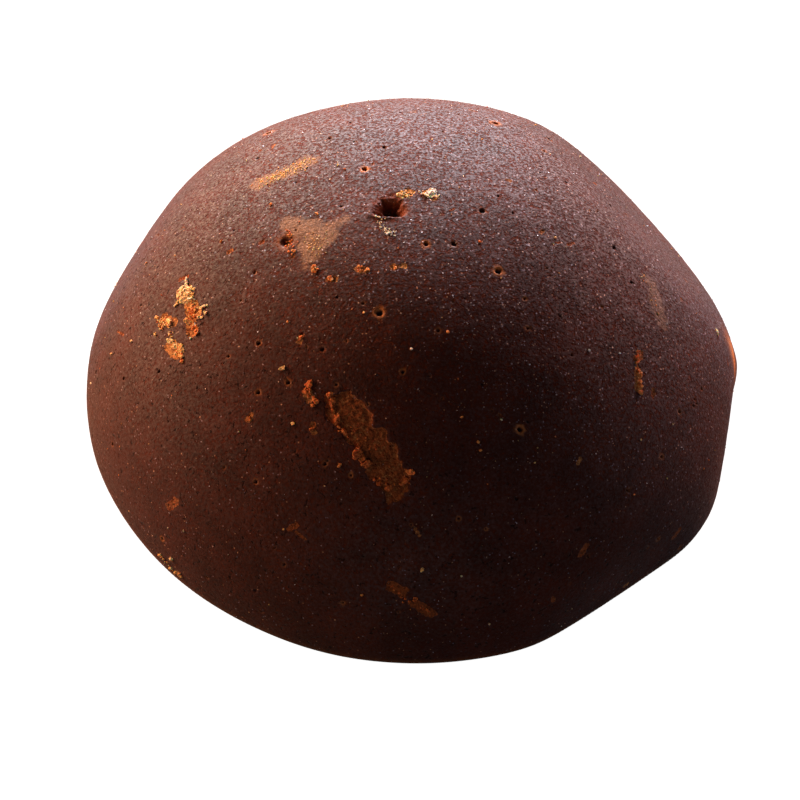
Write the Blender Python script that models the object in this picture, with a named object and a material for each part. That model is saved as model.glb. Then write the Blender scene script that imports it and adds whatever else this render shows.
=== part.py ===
"""A lump of dark palm jaggery, cast in half a coconut shell and knocked out onto its flat side.

One solid: a low dome with a flat base and a rounded bottom edge. The edge has a short flash of
syrup that set in the joint of the mould. A few places were flattened while the lump was warm,
knocks have left shallow scars, and steam has left a blowhole at the top and pores round about.

Axes: +Z is up, the lump rests on its flat base at Z = 0, and the base is centred on the origin.
A place on the skin is given by its azimuth, which turns about +Z from +X, and by its height, the
angle above the base plane. Both are in degrees and are seen from the middle of the base.
"""

import math

import bmesh
import bpy
from mathutils import Matrix, Vector, noise
from mathutils.bvhtree import BVHTree
from mathutils.geometry import intersect_point_line

MM = 0.001

# Driving sizes
BASE_RADIUS = 43.0 * MM
DOME_HEIGHT = 33.4 * MM
EDGE_ROUNDING = 1.2 * MM

# How finely the skin is divided
GRID_CELLS = 56
EDGE_STEPS = 3

# Flattened places: the skin is pushed back softly to a plane that faces this way, this far out
FLATS = [
    {"azimuth": 32, "height": 36, "distance": 36.7 * MM, "softness": 1.2 * MM},
    {"azimuth": -8, "height": 0, "distance": 41.9 * MM, "softness": 0.5 * MM},
    {"azimuth": -50, "height": 0, "distance": 41.5 * MM, "softness": 0.5 * MM},
    {"azimuth": 162, "height": 24, "distance": 40.6 * MM, "softness": 1.0 * MM},
]

# The shell was uneven, so the skin wanders in and out by this much over this distance
WAVE_DEPTH = 0.2 * MM
WAVE_LENGTH = 17.0 * MM

# The flash: a low lip on the bottom edge
FLASH_AZIMUTH = 9
FLASH_SPREAD = 5
FLASH_REACH = 0.8 * MM
FLASH_HEIGHT = 3.0 * MM

# Scars: troughs that run from one place (azimuth, height) to another
SCARS = [
    {"start": (-112, 47), "end": (-93, 37), "width": 5.0 * MM, "depth": 0.5 * MM},
    {"start": (-171, 40), "end": (-158, 41), "width": 3.5 * MM, "depth": 0.3 * MM},
    {"start": (155, 50), "end": (137, 57), "width": 3.0 * MM, "depth": 0.3 * MM},
    {"start": (-178, 64), "end": (-157, 68), "width": 5.5 * MM, "depth": 0.3 * MM},
    {"start": (-92, 17), "end": (-86, 13), "width": 3.0 * MM, "depth": 0.3 * MM},
    {"start": (-4, 40), "end": (-8, 36), "width": 2.5 * MM, "depth": 0.3 * MM},
    {"start": (-21, 39), "end": (-29, 36), "width": 2.0 * MM, "depth": 0.3 * MM},
    {"start": (62, 30), "end": (74, 38), "width": 4.0 * MM, "depth": 0.4 * MM},
    {"start": (112, 18), "end": (106, 24), "width": 3.0 * MM, "depth": 0.3 * MM},
]

# Holes: hollows at a place, this wide and this deep. The first is the blowhole, the rest are pores
HOLES = [
    {"place": (145, 81.5), "width": 3.0 * MM, "depth": 1.9 * MM},
    {"place": (-30, 71), "width": 1.1 * MM, "depth": 0.8 * MM},
    {"place": (-109, 66.5), "width": 1.1 * MM, "depth": 0.8 * MM},
    {"place": (-62, 43), "width": 1.1 * MM, "depth": 0.8 * MM},
    {"place": (-175, 62.5), "width": 1.6 * MM, "depth": 0.9 * MM},
    {"place": (48, 52), "width": 1.2 * MM, "depth": 0.8 * MM},
]
HOLE_SEGMENTS = 14
HOLE_RINGS = 8

# The dark skin and its finish, as linear red, green and blue
SKIN_COLOUR = (0.062, 0.022, 0.012, 1)
SKIN_ROUGHNESS = 0.55


def direction(azimuth, height):
    """The unit vector at this azimuth and height, in degrees."""
    a, h = math.radians(azimuth), math.radians(height)
    return Vector((math.cos(a) * math.cos(h), math.sin(a) * math.cos(h), math.sin(h)))


def soft_excess(distance, softness):
    """Nought well below zero, the distance itself well above it, and a smooth turn in between."""
    ratio = distance / softness
    if ratio > 30:
        return distance
    return softness * math.log1p(math.exp(ratio))


def flattened(point):
    for flat in FLATS:
        facing = direction(flat["azimuth"], flat["height"])
        beyond = soft_excess(point.dot(facing) - flat["distance"], flat["softness"])
        point = point - facing * beyond
    return point


def flash_bulge(point):
    """How far the flash stands out here: most at its azimuth on the bottom edge, fading round and up."""
    azimuth = math.degrees(math.atan2(point.y, point.x))
    around = math.exp(-(((azimuth - FLASH_AZIMUTH) / FLASH_SPREAD) ** 2))
    upwards = math.exp(-((point.z / FLASH_HEIGHT) ** 2))
    return FLASH_REACH * around * upwards


def scar_depth(point):
    """How deep the scars are here: a trough with a round bottom, which fades out at both ends."""
    deepest = 0.0
    for scar in SCARS:
        start, end = (direction(*scar[side]) * point.length for side in ("start", "end"))
        nearest, along = intersect_point_line(point, start, end)
        if along < 0:
            nearest = start
        elif along > 1:
            nearest = end
        away = (point - nearest).length / (scar["width"] / 2)
        deepest = max(deepest, scar["depth"] * math.exp(-(away**4)))
    return deepest


def on_dome(azimuth, climb):
    """The skin at this azimuth and this climb from the bottom edge, 0, to the top, pi / 2, in radians."""
    flat_radius = BASE_RADIUS * math.cos(climb)
    height = (DOME_HEIGHT - EDGE_ROUNDING) * math.sin(climb)
    point = flattened(Vector((flat_radius * math.cos(azimuth), flat_radius * math.sin(azimuth), height)))
    wave = noise.noise(point / WAVE_LENGTH) * WAVE_DEPTH
    point.z = max(point.z, 0)
    point += point.normalized() * (wave + flash_bulge(point) - scar_depth(point))
    point.z = EDGE_ROUNDING + max(point.z, 0)
    return point


def disc_place(u, v):
    """A point of a square grid, each side from -1 to 1, wrapped onto the unit disc: (radius, azimuth)."""
    if abs(u) > abs(v):
        return abs(u), math.pi / 4 * v / u + (math.pi if u < 0 else 0)
    if v == 0:
        return 0.0, 0.0
    return abs(v), math.pi / 2 - math.pi / 4 * u / v + (math.pi if v < 0 else 0)


def turn_under(bm):
    """Turns the open bottom edge under in steps, down to the base plane, and closes the base flat."""
    rim = [edge for edge in bm.edges if edge.is_boundary]
    turned = 0.0
    for step in range(1, EDGE_STEPS + 1):
        turn = math.pi / 2 * step / EDGE_STEPS
        inwards = EDGE_ROUNDING * (math.cos(turned) - math.cos(turn))
        height = EDGE_ROUNDING * (1 - math.sin(turn))
        grown = bmesh.ops.extrude_edge_only(bm, edges=rim)["geom"]
        for vertex in (item for item in grown if isinstance(item, bmesh.types.BMVert)):
            shrink = 1 - inwards / math.hypot(vertex.co.x, vertex.co.y)
            vertex.co = (vertex.co.x * shrink, vertex.co.y * shrink, height)
        rim = [item for item in grown if isinstance(item, bmesh.types.BMEdge) and item.is_boundary]
        turned = turn
    bmesh.ops.holes_fill(bm, edges=rim)


def centre_on_base(bm):
    for axis in (0, 1):
        sides = [vertex.co[axis] for vertex in bm.verts]
        middle = (min(sides) + max(sides)) / 2
        for vertex in bm.verts:
            vertex.co[axis] -= middle


def dome_mesh():
    """A square grid wrapped over the dome, so that its cells stay even right up to the top."""
    bm = bmesh.new()
    bmesh.ops.create_grid(bm, x_segments=GRID_CELLS, y_segments=GRID_CELLS, size=1)
    for vertex in bm.verts:
        radius, azimuth = disc_place(vertex.co.x, vertex.co.y)
        vertex.co = on_dome(azimuth, math.pi / 2 * (1 - radius))
    turn_under(bm)
    centre_on_base(bm)
    bmesh.ops.triangulate(bm, faces=bm.faces[:])
    bmesh.ops.recalc_face_normals(bm, faces=bm.faces[:])
    mesh = bpy.data.meshes.new("jaggery_lump")
    bm.to_mesh(mesh)
    bm.free()
    mesh.shade_smooth()
    return mesh


def skin_material():
    material = bpy.data.materials.new("dark_jaggery")
    material.use_nodes = True
    shader = material.node_tree.nodes["Principled BSDF"]
    shader.inputs["Base Color"].default_value = SKIN_COLOUR
    shader.inputs["Roughness"].default_value = SKIN_ROUGHNESS
    shader.inputs["Metallic"].default_value = 0.0
    return material


def hole_cutter(number, hole, skin):
    """A rounded hollow's own shape, set half in and half out of the skin at the hole's place."""
    facing = direction(*hole["place"])
    place, normal, _, _ = skin.ray_cast(facing * BASE_RADIUS * 2, -facing)
    bm = bmesh.new()
    bmesh.ops.create_uvsphere(bm, u_segments=HOLE_SEGMENTS, v_segments=HOLE_RINGS, radius=1)
    bmesh.ops.scale(bm, verts=bm.verts[:], vec=(hole["width"] / 2, hole["width"] / 2, hole["depth"]))
    turn = Vector((0, 0, 1)).rotation_difference(normal).to_matrix().to_4x4()
    bmesh.ops.transform(bm, verts=bm.verts[:], matrix=Matrix.Translation(place) @ turn)
    mesh = bpy.data.meshes.new(f"hole_cutter_{number}")
    bm.to_mesh(mesh)
    bm.free()
    cutter = bpy.data.objects.new(mesh.name, mesh)
    cutter.hide_render = True
    cutter.display_type = "WIRE"
    return cutter


def build_lump():
    lump = bpy.data.objects.new("jaggery_lump", dome_mesh())
    lump.data.materials.append(skin_material())
    bpy.context.scene.collection.objects.link(lump)
    bpy.context.view_layer.update()
    skin = BVHTree.FromObject(lump, bpy.context.evaluated_depsgraph_get())
    for number, hole in enumerate(HOLES, start=1):
        cutter = hole_cutter(number, hole, skin)
        bpy.context.scene.collection.objects.link(cutter)
        cut = lump.modifiers.new(cutter.name, "BOOLEAN")
        cut.operation = "DIFFERENCE"
        cut.solver = "EXACT"
        cut.object = cutter


for leftover in list(bpy.data.objects):
    bpy.data.objects.remove(leftover)
build_lump()
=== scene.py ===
"""The looks of a lump of dark palm jaggery, built round its CAD solid.

The lump is cast in half a coconut shell and stands on its flat side. Lengths below are in
millimetres until a mesh is made. A place on the skin is given by its azimuth, which turns about
+Z from +X, and its height above the base plane, both in degrees, seen from the middle of the base.
"""

import math

import bpy
import numpy as np
from mathutils import Matrix, Vector, noise
from mathutils.bvhtree import BVHTree


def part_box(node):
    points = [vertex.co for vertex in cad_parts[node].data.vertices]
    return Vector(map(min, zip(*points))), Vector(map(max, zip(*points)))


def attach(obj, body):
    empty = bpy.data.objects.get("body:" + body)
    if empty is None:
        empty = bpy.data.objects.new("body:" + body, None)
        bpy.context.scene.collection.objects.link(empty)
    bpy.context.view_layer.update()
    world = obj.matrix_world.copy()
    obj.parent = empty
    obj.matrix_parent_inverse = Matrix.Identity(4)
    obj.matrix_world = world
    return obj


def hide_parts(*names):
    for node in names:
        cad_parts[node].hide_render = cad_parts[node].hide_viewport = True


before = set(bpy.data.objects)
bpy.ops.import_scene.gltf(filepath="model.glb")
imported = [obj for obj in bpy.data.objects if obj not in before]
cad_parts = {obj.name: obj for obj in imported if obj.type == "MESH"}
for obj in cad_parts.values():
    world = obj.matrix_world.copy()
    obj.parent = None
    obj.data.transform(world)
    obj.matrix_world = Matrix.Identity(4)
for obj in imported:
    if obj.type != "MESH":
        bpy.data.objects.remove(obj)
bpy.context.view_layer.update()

# ---------------------------------------------------------------------------------------------
# The cast lump. Palm syrup is boiled down, poured into half a coconut shell and left to set, then
# knocked out onto its flat side. The shell was uneven and the lump was still warm, so it has
# flattened places; the edge has a short flash, knocks have chipped it and steam has left pores.
# ---------------------------------------------------------------------------------------------

solid_low, solid_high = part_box("jaggery_lump")
TO_METRES = 0.001
CAST_RADIUS = (solid_high.x - solid_low.x) / 2 / TO_METRES
CAST_HEIGHT = (solid_high.z - solid_low.z) / TO_METRES
EDGE_ROUNDING = 1.2
EDGE_SHARE = 0.03

# azimuth, height, distance of the flat from the middle of the base, softness of its border
FLATS = [(32, 36, 36.7, 1.2), (-8, 0, 41.9, 0.5), (-50, 0, 41.5, 0.5), (162, 24, 40.6, 1.0)]
WAVE_DEPTH, WAVE_LENGTH = 0.2, 17.0
FLASH = {"azimuth": 9, "spread": 5, "reach": 0.8, "height": 3.0}


def direction(azimuth, height):
    a, h = math.radians(azimuth), math.radians(height)
    return np.array((math.cos(a) * math.cos(h), math.sin(a) * math.cos(h), math.sin(h)))


def unit(vectors):
    return vectors / np.maximum(np.linalg.norm(vectors, axis=1, keepdims=True), 1e-9)


def rough(points, size):
    """Smooth noise from -1 to 1 at each point, with bumps of about this size."""
    return np.array([noise.noise(p) for p in (points / size).tolist()])


def smooth_step(low, high, value):
    share = np.clip((value - low) / (high - low), 0, 1)
    return share * share * (3 - 2 * share)


def wrapped(u, v):
    """A point of a square, each side from -1 to 1, wrapped onto a disc: its radius and azimuth."""
    across = np.abs(u) > np.abs(v)
    safe_u, safe_v = np.where(across, u, 1), np.where(across | (v == 0), 1, v)
    azimuth = np.where(
        across,
        math.pi / 4 * v / safe_u + np.where(u < 0, math.pi, 0),
        math.pi / 2 - math.pi / 4 * u / safe_v + np.where(v < 0, math.pi, 0),
    )
    return np.maximum(np.abs(u), np.abs(v)), azimuth


def mould_skin(climb, azimuth):
    """The skin as the shell shaped it, at this climb from the edge, 0, to the top, pi / 2."""
    flat_out = CAST_RADIUS * np.cos(climb)
    rise = (CAST_HEIGHT - EDGE_ROUNDING) * np.sin(climb)
    points = np.column_stack((flat_out * np.cos(azimuth), flat_out * np.sin(azimuth), rise))
    for flat_azimuth, flat_height, distance, softness in FLATS:
        facing = direction(flat_azimuth, flat_height)
        beyond = softness * np.logaddexp(0, (points @ facing - distance) / softness)
        points -= beyond[:, None] * facing
    swell = rough(points, WAVE_LENGTH) * WAVE_DEPTH
    points[:, 2] = np.maximum(points[:, 2], 0)
    turned = np.degrees(np.arctan2(points[:, 1], points[:, 0])) - FLASH["azimuth"]
    swell += FLASH["reach"] * np.exp(
        -((turned / FLASH["spread"]) ** 2) - (points[:, 2] / FLASH["height"]) ** 2
    )
    points += unit(points) * swell[:, None]
    points[:, 2] = np.maximum(points[:, 2], 0)
    return points


def cast_form(spots):
    """The whole form. A spot is (u, v, sheet): the sheet is 1 on the skin, -1 underneath, 0 between."""
    under = spots[:, 2] < 0
    radius, azimuth = wrapped(spots[:, 0], spots[:, 1])
    skin_ends = 1 - EDGE_SHARE
    climb = np.where(under, 0, math.pi / 2 * np.clip(1 - radius / skin_ends, 0, 1))
    turn = math.pi / 2 * np.where(under, 1, np.clip((radius - skin_ends) / EDGE_SHARE, 0, 1))
    points = mould_skin(climb, azimuth)
    flat_out = np.maximum(np.hypot(points[:, 0], points[:, 1]), 1e-9)
    shrink = (flat_out - EDGE_ROUNDING * (1 - np.cos(turn))) / flat_out
    points[:, :2] *= (shrink * np.where(under, radius, 1))[:, None]
    points[:, 2] += EDGE_ROUNDING * (1 - np.sin(turn))
    return points


def pillow_grid(cells):
    """Two square grids joined at their rims, as (u, v, sheet) spots and triangles facing outwards."""
    line = np.linspace(-1, 1, cells + 1)
    u, v = (side.ravel() for side in np.meshgrid(line, line))
    on_rim = np.maximum(np.abs(u), np.abs(v)) > 1 - 1e-9
    upper = np.column_stack((u, v, np.where(on_rim, 0, 1)))
    lower_number = np.where(on_rim, np.arange(len(u)), len(u) + np.cumsum(~on_rim) - 1)
    spots = np.vstack((upper, np.column_stack((u, v, -np.ones(len(u))))[~on_rim]))
    corner = np.arange((cells + 1) ** 2).reshape(cells + 1, cells + 1)
    a, b, c, d = (
        part.ravel() for part in (corner[:-1, :-1], corner[:-1, 1:], corner[1:, 1:], corner[1:, :-1])
    )
    slanted = (u[a] + u[c]) * (v[a] + v[c]) > 0
    one = np.where(slanted[:, None], np.column_stack((a, b, c)), np.column_stack((a, b, d)))
    two = np.where(slanted[:, None], np.column_stack((a, c, d)), np.column_stack((b, c, d)))
    skin = np.vstack((one, two))
    return spots, np.vstack((skin, lower_number[skin][:, ::-1]))


def split_long_edges(spots, corners, wanted_length):
    """Halves every edge that is longer than wanted at its middle, longest edges first."""
    while True:
        sides = np.sort(corners[:, [[0, 1], [1, 2], [2, 0]]], axis=2)
        ends = sides.reshape(-1, 2)
        _, first, number = np.unique(ends[:, 0] * len(spots) + ends[:, 1], return_index=True, return_inverse=True)
        edges, number = ends[first], number.reshape(-1, 3)
        points = cast_form(spots)
        length = np.linalg.norm(points[edges[:, 0]] - points[edges[:, 1]], axis=1)
        halved = length > wanted_length(points[edges].mean(axis=1), length)
        if not halved.any():
            return spots, corners
        longest = number[np.arange(len(corners)), length[number].argmax(axis=1)]
        while True:
            unfinished = halved[number].any(axis=1) & ~halved[longest]
            if not unfinished.any():
                break
            halved[longest[unfinished]] = True
        middle = np.where(halved, len(spots) + np.cumsum(halved) - 1, -1)
        between = spots[edges[halved]].mean(axis=1)
        between[:, 2] = np.sign(spots[edges[halved], 2].sum(axis=1))
        spots = np.vstack((spots, between))
        corners = divided(corners, middle[number])


def divided(corners, middles):
    """Each triangle in one, two, three or four, by which of its sides ab, bc and ca have a middle."""
    has = middles >= 0
    count = has.sum(axis=1)
    turn = np.zeros(len(corners), int)
    turn[count == 1] = has[count == 1].argmax(axis=1)
    turn[count == 2] = ((~has[count == 2]).argmax(axis=1) + 1) % 3
    order = (np.arange(3) + turn[:, None]) % 3
    a, b, c = np.take_along_axis(corners, order, axis=1).T
    ab, bc, ca = np.take_along_axis(middles, order, axis=1).T
    pieces = [
        (count == 0, [(a, b, c)]),
        (count == 1, [(a, ab, c), (ab, b, c)]),
        (count == 2, [(ab, b, bc), (a, ab, bc), (a, bc, c)]),
        (count == 3, [(a, ab, ca), (ab, b, bc), (ca, bc, c), (ab, bc, ca)]),
    ]
    return np.vstack([np.column_stack(p)[chosen] for chosen, parts in pieces for p in parts])


START_CELLS = 56
start_spots, start_corners = pillow_grid(START_CELLS)
plain_form = BVHTree.FromPolygons(cast_form(start_spots).tolist(), start_corners.tolist())


def skin_place(azimuth, height):
    """The point of the plain form at this azimuth and height."""
    outwards = Vector(direction(azimuth, height))
    return np.array(plain_form.ray_cast(outwards * CAST_RADIUS * 2, -outwards)[0])


# Chips: places along the middle of each, its width and depth, and how far its sugar is bared, 0 to 1
CHIPS = [
    ([(-110, 47), (-103, 44), (-97, 40), (-93, 36)], 4.0, 0.20, 0.10),
    ([(-120, 47), (-119, 46)], 1.2, 0.08, 0.40),
    ([(-114, 48), (-112, 46)], 1.1, 0.10, 0.35),
    ([(-171, 40), (-167, 40), (-163, 41)], 1.7, 0.12, 0.60),
    ([(-164, 40), (-158, 39)], 1.6, 0.12, 0.30),
    ([(-167, 34), (-164, 36)], 1.3, 0.08, 0.35),
    ([(-159, 34), (-156, 35)], 1.8, 0.12, 0.50),
    ([(-92, 18), (-90, 17)], 1.5, 0.08, -0.35),
    ([(-88, 15), (-85, 13)], 1.3, 0.10, -0.30),
    ([(-21, 39), (-23, 39)], 1.1, 0.08, 0.25),
    ([(-25, 38), (-29, 36)], 0.9, 0.08, 0.40),
    ([(-135, 17), (-136, 15)], 1.1, 0.05, 0.15),
    ([(-111, 25), (-112, 24)], 0.8, 0.05, -0.35),
    ([(113, 79), (106, 79)], 1.4, 0.12, 0.80),
    ([(84, 79), (78, 80)], 1.4, 0.12, 0.95),
    ([(-139, 73), (-134, 74)], 1.0, 0.08, 0.45),
    ([(-145, 67), (-143, 68)], 0.9, 0.08, 0.35),
    ([(-117, 78), (-116, 78)], 1.0, 0.10, 0.40),
    ([(-109, 79), (-107, 79)], 0.8, 0.08, 0.50),
    ([(-133, 55), (-132, 54)], 0.8, 0.08, 0.35),
    ([(-130, 38), (-130, 37)], 0.8, 0.08, 0.25),
    ([(-115, 42), (-114, 41)], 0.9, 0.08, 0.20),
    ([(64, 11), (68, 13)], 1.7, 0.14, -0.20),
    ([(111, 11), (107, 13)], 1.5, 0.14, -0.05),
    ([(144, 12), (146, 11)], 0.9, 0.08, 0.05),
]
SMALL_CHIPS = 24
SMALL_CHIP_WIDTHS = (0.35, 0.9)

# Rubbed places, where the skin is worn to a pale powder: places along the middle, width, how worn
RUBBED = [
    ([(153, 49.8), (146, 53.6), (137, 56)], 2.8, 0.75),
    ([(-168, 66.5), (-176, 68.8)], 4.2, 0.90),
    ([(174, 62), (178, 66.5)], 3.4, 0.75),
    ([(178, 71), (170, 73.5)], 2.0, 0.65),
    ([(178, 65), (-178, 68)], 3.4, 0.75),
    ([(-162, 64.5), (-158, 64)], 1.6, 0.55),
    ([(1, 40), (-3, 38.5), (-9, 36.5)], 2.6, 0.55),
    ([(-4, 40), (-8, 38)], 1.6, 0.45),
    ([(122, 13), (128, 17)], 2.0, 0.28),
]

# Gas pores: azimuth, height, width, depth, how golden the ring round the mouth is, 0 to 1
NAMED_PORES = [
    (-29, 71, 0.95, 0.9, 0.8), (-110, 67, 1.0, 0.9, 0.7), (-62, 42.5, 0.8, 0.8, 0.6),
    (-94, 56, 0.6, 0.5, 0.4), (-28, 82, 0.8, 0.6, 0.1), (-76, 85.5, 0.8, 0.5, 0.6),
    (125, 67.5, 0.8, 0.6, 0.9), (28, 75.5, 0.9, 0.5, 0.1), (-142, 48.5, 0.6, 0.6, 0.3),
    (-132, 42, 0.6, 0.6, 0.3), (-176, 61.5, 1.9, 0.45, 0.2), (-117, 78, 0.5, 0.4, 0.8),
    (81, 79.5, 0.4, 0.4, 1.0), (70, 45, 1.1, 0.9, 0.6), (130, 35, 1.0, 0.9, 0.5),
]
RANDOM_PORES = 170
RANDOM_PORE_WIDTHS = (0.28, 0.62)

# The blowhole: it is deepest close behind its near lip and slopes up gently at the back
BLOWHOLE = {"azimuth": 150, "height": 82.0, "half_length": 2.4, "front": 0.80, "back": 3.3, "depth": 2.9}
LIP_HEIGHT = 0.10

SKIN_SEED = 7
chance = np.random.default_rng(SKIN_SEED)


def chance_place():
    """An even spread over the upper part of a ball, as azimuth and height."""
    return chance.uniform(-180, 180), math.degrees(math.asin(chance.uniform(0.05, 1)))


chips = []
for places, width, depth, bared in CHIPS:
    chips.append((np.array([skin_place(*place) for place in places]), width, depth, bared))
for _ in range(SMALL_CHIPS):
    azimuth, height = chance_place()
    width = SMALL_CHIP_WIDTHS[0] + np.ptp(SMALL_CHIP_WIDTHS) * chance.random() ** 3
    ends = [(azimuth, height), (azimuth + chance.normal(0, 1.2), height + chance.normal(0, 0.8))]
    path = np.array([skin_place(a, min(h, 89)) for a, h in ends])
    chips.append((path, width, 0.10, chance.uniform(-0.4, 0.4)))

pores = [(skin_place(a, h), width / 2, depth, gold) for a, h, width, depth, gold in NAMED_PORES]
for _ in range(RANDOM_PORES):
    width = RANDOM_PORE_WIDTHS[0] + np.ptp(RANDOM_PORE_WIDTHS) * chance.random() ** 2
    pores.append((skin_place(*chance_place()), width / 2, width * 0.8, chance.uniform(0, 0.5) ** 2 * 2))

blow_place = skin_place(BLOWHOLE["azimuth"], BLOWHOLE["height"])


def nearest_on_path(points, path):
    """How far each point lies from the path, measured along the skin."""
    best = np.full(len(points), 1e9)
    outwards = unit(points)
    for start, end in zip(path[:-1], path[1:]):
        run = end - start
        share = np.clip((points - start) @ run / max(run @ run, 1e-9), 0, 1)
        away = points - (start + share[:, None] * run)
        away -= outwards * (away * outwards).sum(axis=1, keepdims=True)
        best = np.minimum(best, np.linalg.norm(away, axis=1))
    return best


# How long the mesh's edges may be: a map of small blocks of space, finer round the marks
SKIN_EDGE, RIM_EDGE, UNDER_EDGE, CHIP_EDGE, BLOW_EDGE = 0.92, 0.62, 1.8, 0.26, 0.19
BLOCK = 0.4
map_low = np.array((-47.0, -47.0, -1.0))
edge_map = np.full((235, 235, 100), SKIN_EDGE)
edge_map[:, :, : int((1.5 - map_low[2]) / BLOCK)] = RIM_EDGE


def ask_for(path, reach, length):
    """Asks for edges of this length within this reach of the path."""
    low = np.maximum(((path.min(axis=0) - reach - map_low) / BLOCK).astype(int), 0)
    high = ((path.max(axis=0) + reach - map_low) / BLOCK).astype(int) + 1
    ranges = [np.arange(a, b) for a, b in zip(low, high)]
    blocks = np.stack(np.meshgrid(*ranges, indexing="ij"), axis=-1).reshape(-1, 3)
    middles = map_low + (blocks + 0.5) * BLOCK
    index = tuple(blocks[nearest_on_path(middles, path) < reach].T)
    edge_map[index] = np.minimum(edge_map[index], length)


for path, width, _, _ in chips:
    ask_for(path, width / 2 + 0.3, CHIP_EDGE)
for place, radius, _, _ in pores:
    ask_for(np.array([place, place + 0.001]), radius * 1.2 + 0.1, max(0.17, radius * 0.5))
blow_reach = BLOWHOLE["back"] + 0.2
ask_for(np.array([blow_place, blow_place + 0.001]), blow_reach, BLOW_EDGE)


def wanted_length(middles, lengths):
    wanted = edge_map[tuple(((middles - map_low) / BLOCK).astype(int).T)]
    return np.where(middles[:, 2] > 0.02, wanted, UNDER_EDGE)


spots, corners = split_long_edges(start_spots, start_corners, wanted_length)
points = cast_form(spots)


def vertex_normals(points, corners):
    a, b, c = (points[corners[:, side]] for side in range(3))
    facing = np.cross(b - a, c - a)
    total = np.zeros_like(points)
    for side in range(3):
        np.add.at(total, corners[:, side], facing)
    return unit(total)


def chip_edges(points):
    """For each point: how far inside a chip it is in mm, how deep that chip is cut and how bared it is."""
    inside = np.full(len(points), -1.5)
    cut, bared = np.zeros(len(points)), np.zeros(len(points))
    for path, width, depth, bare in chips:
        middle = path.mean(axis=0)
        spread = np.linalg.norm(path - middle, axis=1).max() + width / 2 + 1.5
        close = np.flatnonzero(((points - middle) ** 2).sum(axis=1) < spread**2)
        here = points[close]
        depth_in = width / 2 - nearest_on_path(here, path)
        depth_in += width * 0.20 * rough(here, width * 0.40)
        depth_in += width * 0.10 * rough(here + 9, width * 0.16)
        deeper = depth_in > inside[close]
        chosen = close[deeper]
        inside[chosen] = depth_in[deeper]
        cut[chosen] = depth
        bared[chosen] = bare
    return inside, cut, bared


on_skin = spots[:, 2] >= 0
inside, cut, bared = chip_edges(points)
worn = np.zeros(len(points))
for places, width, strength in RUBBED:
    path = np.array([skin_place(*place) for place in places])
    close = np.flatnonzero(((points - path.mean(axis=0)) ** 2).sum(axis=1) < 60)
    depth_in = width / 2 - nearest_on_path(points[close], path)
    depth_in += 0.26 * width * rough(points[close], width * 0.35)
    worn[close] = np.maximum(worn[close], strength * smooth_step(-0.25, 0.70, depth_in))
in_chip = smooth_step(-0.05, 0.25, inside)
sunk = cut * in_chip
sunk -= in_chip * (0.10 * rough(points, 0.55) + 0.06 * rough(points, 0.25))
sunk -= 0.035 * rough(points, 2.6) + 0.02 * rough(points, 0.9)

ring = np.zeros(len(points))
hollow_depth_and_shade = np.zeros(len(points))
for place, radius, depth, gold in pores:
    close = np.flatnonzero(((points - place) ** 2).sum(axis=1) < (radius * 2.2) ** 2)
    share = np.linalg.norm(points[close] - place, axis=1) / radius
    share *= 1 + 0.18 * rough(points[close], radius * 0.9)
    bowl = depth * (1 - smooth_step(0.35, 1.0, share))
    hollow_depth_and_shade[close] = np.maximum(hollow_depth_and_shade[close], bowl)
    rim = smooth_step(0.55, 1.0, share) * (1 - smooth_step(1.15, 1.9, share))
    ring[close] = np.maximum(ring[close], gold * rim)


def blowhole_share(points):
    """0 at the deepest place of the blowhole, 1 at its mouth. Its long side lies along X."""
    away = points - blow_place
    reach = np.where(away[:, 1] > 0, BLOWHOLE["back"], BLOWHOLE["front"])
    share = np.hypot(away[:, 0] / BLOWHOLE["half_length"], away[:, 1] / reach)
    uneven = 0.16 * rough(points, 1.0) + 0.12 * rough(points + 5, 0.45)
    return np.where(points[:, 2] > CAST_HEIGHT / 2, share + uneven, 99)


hole_share = blowhole_share(points)
hole = BLOWHOLE["depth"] * np.clip(1 - np.maximum(hole_share, 0), 0, 1) ** 1.8
from_blow = points - blow_place
lip_turn = np.arctan2(from_blow[:, 1], from_blow[:, 0])
near_left = np.clip(np.cos(lip_turn + 2.2) + 0.2, 0, 1)
lip_here = np.exp(-(((hole_share - 1.10) / 0.20) ** 2)) * near_left
# Painted shade: the blowhole is coloured darker the deeper it goes
blowhole_shade = 0.86 * smooth_step(0.05, 1.5, hole)
rusty = 0.85 * (1 - smooth_step(0.45, 1.35, hole_share)) * (1 - lip_here)

# Underneath is the open face of the cast, which sank and rippled a little as it set
flat_out = np.hypot(points[:, 0], points[:, 1])
from_edge = np.clip((CAST_RADIUS - 2.5 - flat_out) / 6, 0, 1)
sag = from_edge * (0.30 + 0.16 * rough(points, 9.0) + 0.05 * rough(points, 2.2))
relief = np.where(on_skin, LIP_HEIGHT * lip_here - sunk - hollow_depth_and_shade - hole, -np.maximum(sag + hollow_depth_and_shade, 0))
# The pores' depth and the blowhole's painted shade are kept together as one mask
hollow_depth_and_shade = np.maximum(hollow_depth_and_shade, blowhole_shade)
# The rounded bottom edge keeps its place, so that the lump still stands on it
relief *= np.where(on_skin, smooth_step(0.3, 1.6, points[:, 2]), 1)
points += vertex_normals(points, corners) * relief[:, None]
points[:, 2] = np.maximum(points[:, 2], 0)
form_middle = (points.max(axis=0) + points.min(axis=0)) / 2
points[:, :2] -= form_middle[:2]

turned = np.degrees(np.arctan2(points[:, 1], points[:, 0]))
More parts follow.
